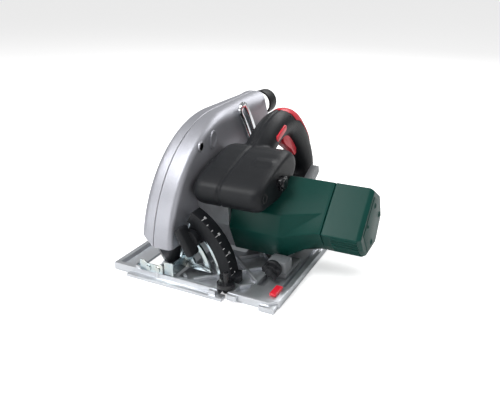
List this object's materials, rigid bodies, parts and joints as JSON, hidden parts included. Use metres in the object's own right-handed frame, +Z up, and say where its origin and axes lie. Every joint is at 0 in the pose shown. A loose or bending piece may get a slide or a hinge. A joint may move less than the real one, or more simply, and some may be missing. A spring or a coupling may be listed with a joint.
{
  "type": "circular saw",
  "caption": "Corded hand-held circular saw with tilting base, hinged cutting depth, swinging lower guard, D-handle and crosswise motor.",
  "frame": {"origin": "on the base plate's sole, where the line of cut crosses the plate's front edge", "axes": "+Z up from the sole; -Y is the cutting direction; the blade lies in X = 0 and the motor points to +X"},
  "size_m": [0.2517, 0.327, 0.2508],
  "materials": {
    "cast_aluminium": "die-cast, blasted",
    "guard_paint": "silver metallic paint",
    "zinc": "bluish zinc plate",
    "steel": "ground",
    "chrome": "polished",
    "black_plastic": "fine texture",
    "green_plastic": "fine texture",
    "red_plastic": "satin",
    "grey_plastic": "satin",
    "copper": "machined copper",
    "carbon": "pressed graphite",
    "rubber": "matt"
  },
  "bodies": {
    "base": {"base_plate": "cast_aluminium", "bevel_scale_arc": "black_plastic", "scale_foot_screw": "black_plastic", "left_stop_screw": "zinc", "right_stop_screw": "zinc", "fence_clamp_housing": "grey_plastic", "guide_lock_insert": "red_plastic", "rear_bevel_post": "zinc"},
    "fence_knob": {"fence_clamp_knob": "black_plastic"},
    "bevel_knob": {"bevel_wing_knob": "black_plastic", "bevel_clamp_bolt": "steel"},
    "bevel_frame": {"quadrant_plate": "zinc", "depth_pivot_pin": "chrome", "rear_bevel_plate": "zinc", "depth_strip": "chrome"},
    "saw_head": {"guard_housing": "guard_paint", "guard_cover": "guard_paint", "gear_case": "cast_aluminium", "motor_housing": "green_plastic", "motor_end_cap": "green_plastic", "handle_left_half": "black_plastic", "handle_right_half": "black_plastic", "grip_overlay": "red_plastic", "switch": "black_plastic", "cable_gland": "rubber", "stator": "steel", "front_brush": "carbon", "rear_brush": "carbon", "front_armature_bearing": "steel", "rear_armature_bearing": "steel", "spindle_bearing": "steel", "spindle_rear_bearing": "steel", "guard_return_spring": "steel"},
    "spindle": {"spindle": "steel", "gear_wheel": "steel", "inner_flange": "steel", "outer_flange": "steel", "blade_bolt": "steel", "saw_blade": "steel"},
    "armature": {"armature_shaft": "steel", "rotor_core": "steel", "commutator": "copper", "cooling_fan": "grey_plastic"},
    "lower_guard": {"lower_guard": "zinc"},
    "trigger": {"trigger": "red_plastic"},
    "lock_off": {"lock_off_button": "red_plastic"},
    "spindle_lock": {"spindle_lock_lever": "black_plastic"},
    "depth_lever": {"depth_lock_lever": "grey_plastic", "depth_clamp_bolt": "steel"},
    "chip_port": {"chip_port": "black_plastic"}
  },
  "joints": [
    {"name": "bevel_tilt", "type": "hinge", "parent": "base", "child": "bevel_frame", "pos_m": [0, 0, 0.0018], "axis": [0, -1, 0], "range_deg": [0, 45]},
    {"name": "depth_adjust", "type": "hinge", "parent": "bevel_frame", "child": "saw_head", "pos_m": [0.024, 0.03, 0.034], "axis": [1, 0, 0], "range_deg": [0, 30]},
    {"name": "blade_turn", "type": "hinge", "parent": "saw_head", "child": "spindle", "pos_m": [0, 0.13, 0.0325], "axis": [1, 0, 0], "continuous": true},
    {"name": "armature_turn", "type": "hinge", "parent": "saw_head", "child": "armature", "pos_m": [0.12, 0.114, 0.061], "axis": [1, 0, 0], "continuous": true},
    {"name": "guard_swing", "type": "hinge", "parent": "saw_head", "child": "lower_guard", "pos_m": [0, 0.13, 0.0325], "axis": [1, 0, 0], "range_deg": [0, 110], "stiffness_Nm_per_rad": 0.3, "springref_deg": -45.84},
    {"name": "trigger_pull", "type": "hinge", "parent": "saw_head", "child": "trigger", "pos_m": [0.06, 0.191, 0.126], "axis": [1, 0, 0], "range_deg": [0, 7], "stiffness_Nm_per_rad": 0.6, "springref_deg": -5.73},
    {"name": "lock_off_press", "type": "slide", "parent": "saw_head", "child": "lock_off", "axis": [-1, 0, 0], "range_m": [0, 0.0025], "stiffness_N_per_m": 600, "springref_m": -0.001},
    {"name": "spindle_lock_turn", "type": "hinge", "parent": "saw_head", "child": "spindle_lock", "pos_m": [0.11, 0.086, 0.0985], "axis": [1, 0, 0], "range_deg": [0, 30], "stiffness_Nm_per_rad": 0.05, "springref_deg": -11.46},
    {"name": "bevel_knob_turn", "type": "hinge", "parent": "base", "child": "bevel_knob", "pos_m": [0.03921, 0.01, 0.04853], "axis": [0, -1, 0], "range_deg": [0, 120]},
    {"name": "fence_knob_turn", "type": "hinge", "parent": "base", "child": "fence_knob", "pos_m": [0.119, 0.042, 0.02], "axis": [0, -1, 0], "continuous": true},
    {"name": "depth_lever_turn", "type": "hinge", "parent": "saw_head", "child": "depth_lever", "pos_m": [0.085, 0.20791, 0.03959], "axis": [1, 0, 0], "range_deg": [0, 60]},
    {"name": "chip_port_turn", "type": "hinge", "parent": "saw_head", "child": "chip_port", "pos_m": [0.002, 0.265, 0.1415], "axis": [0, 1, 0], "continuous": true}
  ],
  "couplings": [
    {"joint": "armature_turn", "follows": "blade_turn", "ratio": -3.7778}
  ]
}
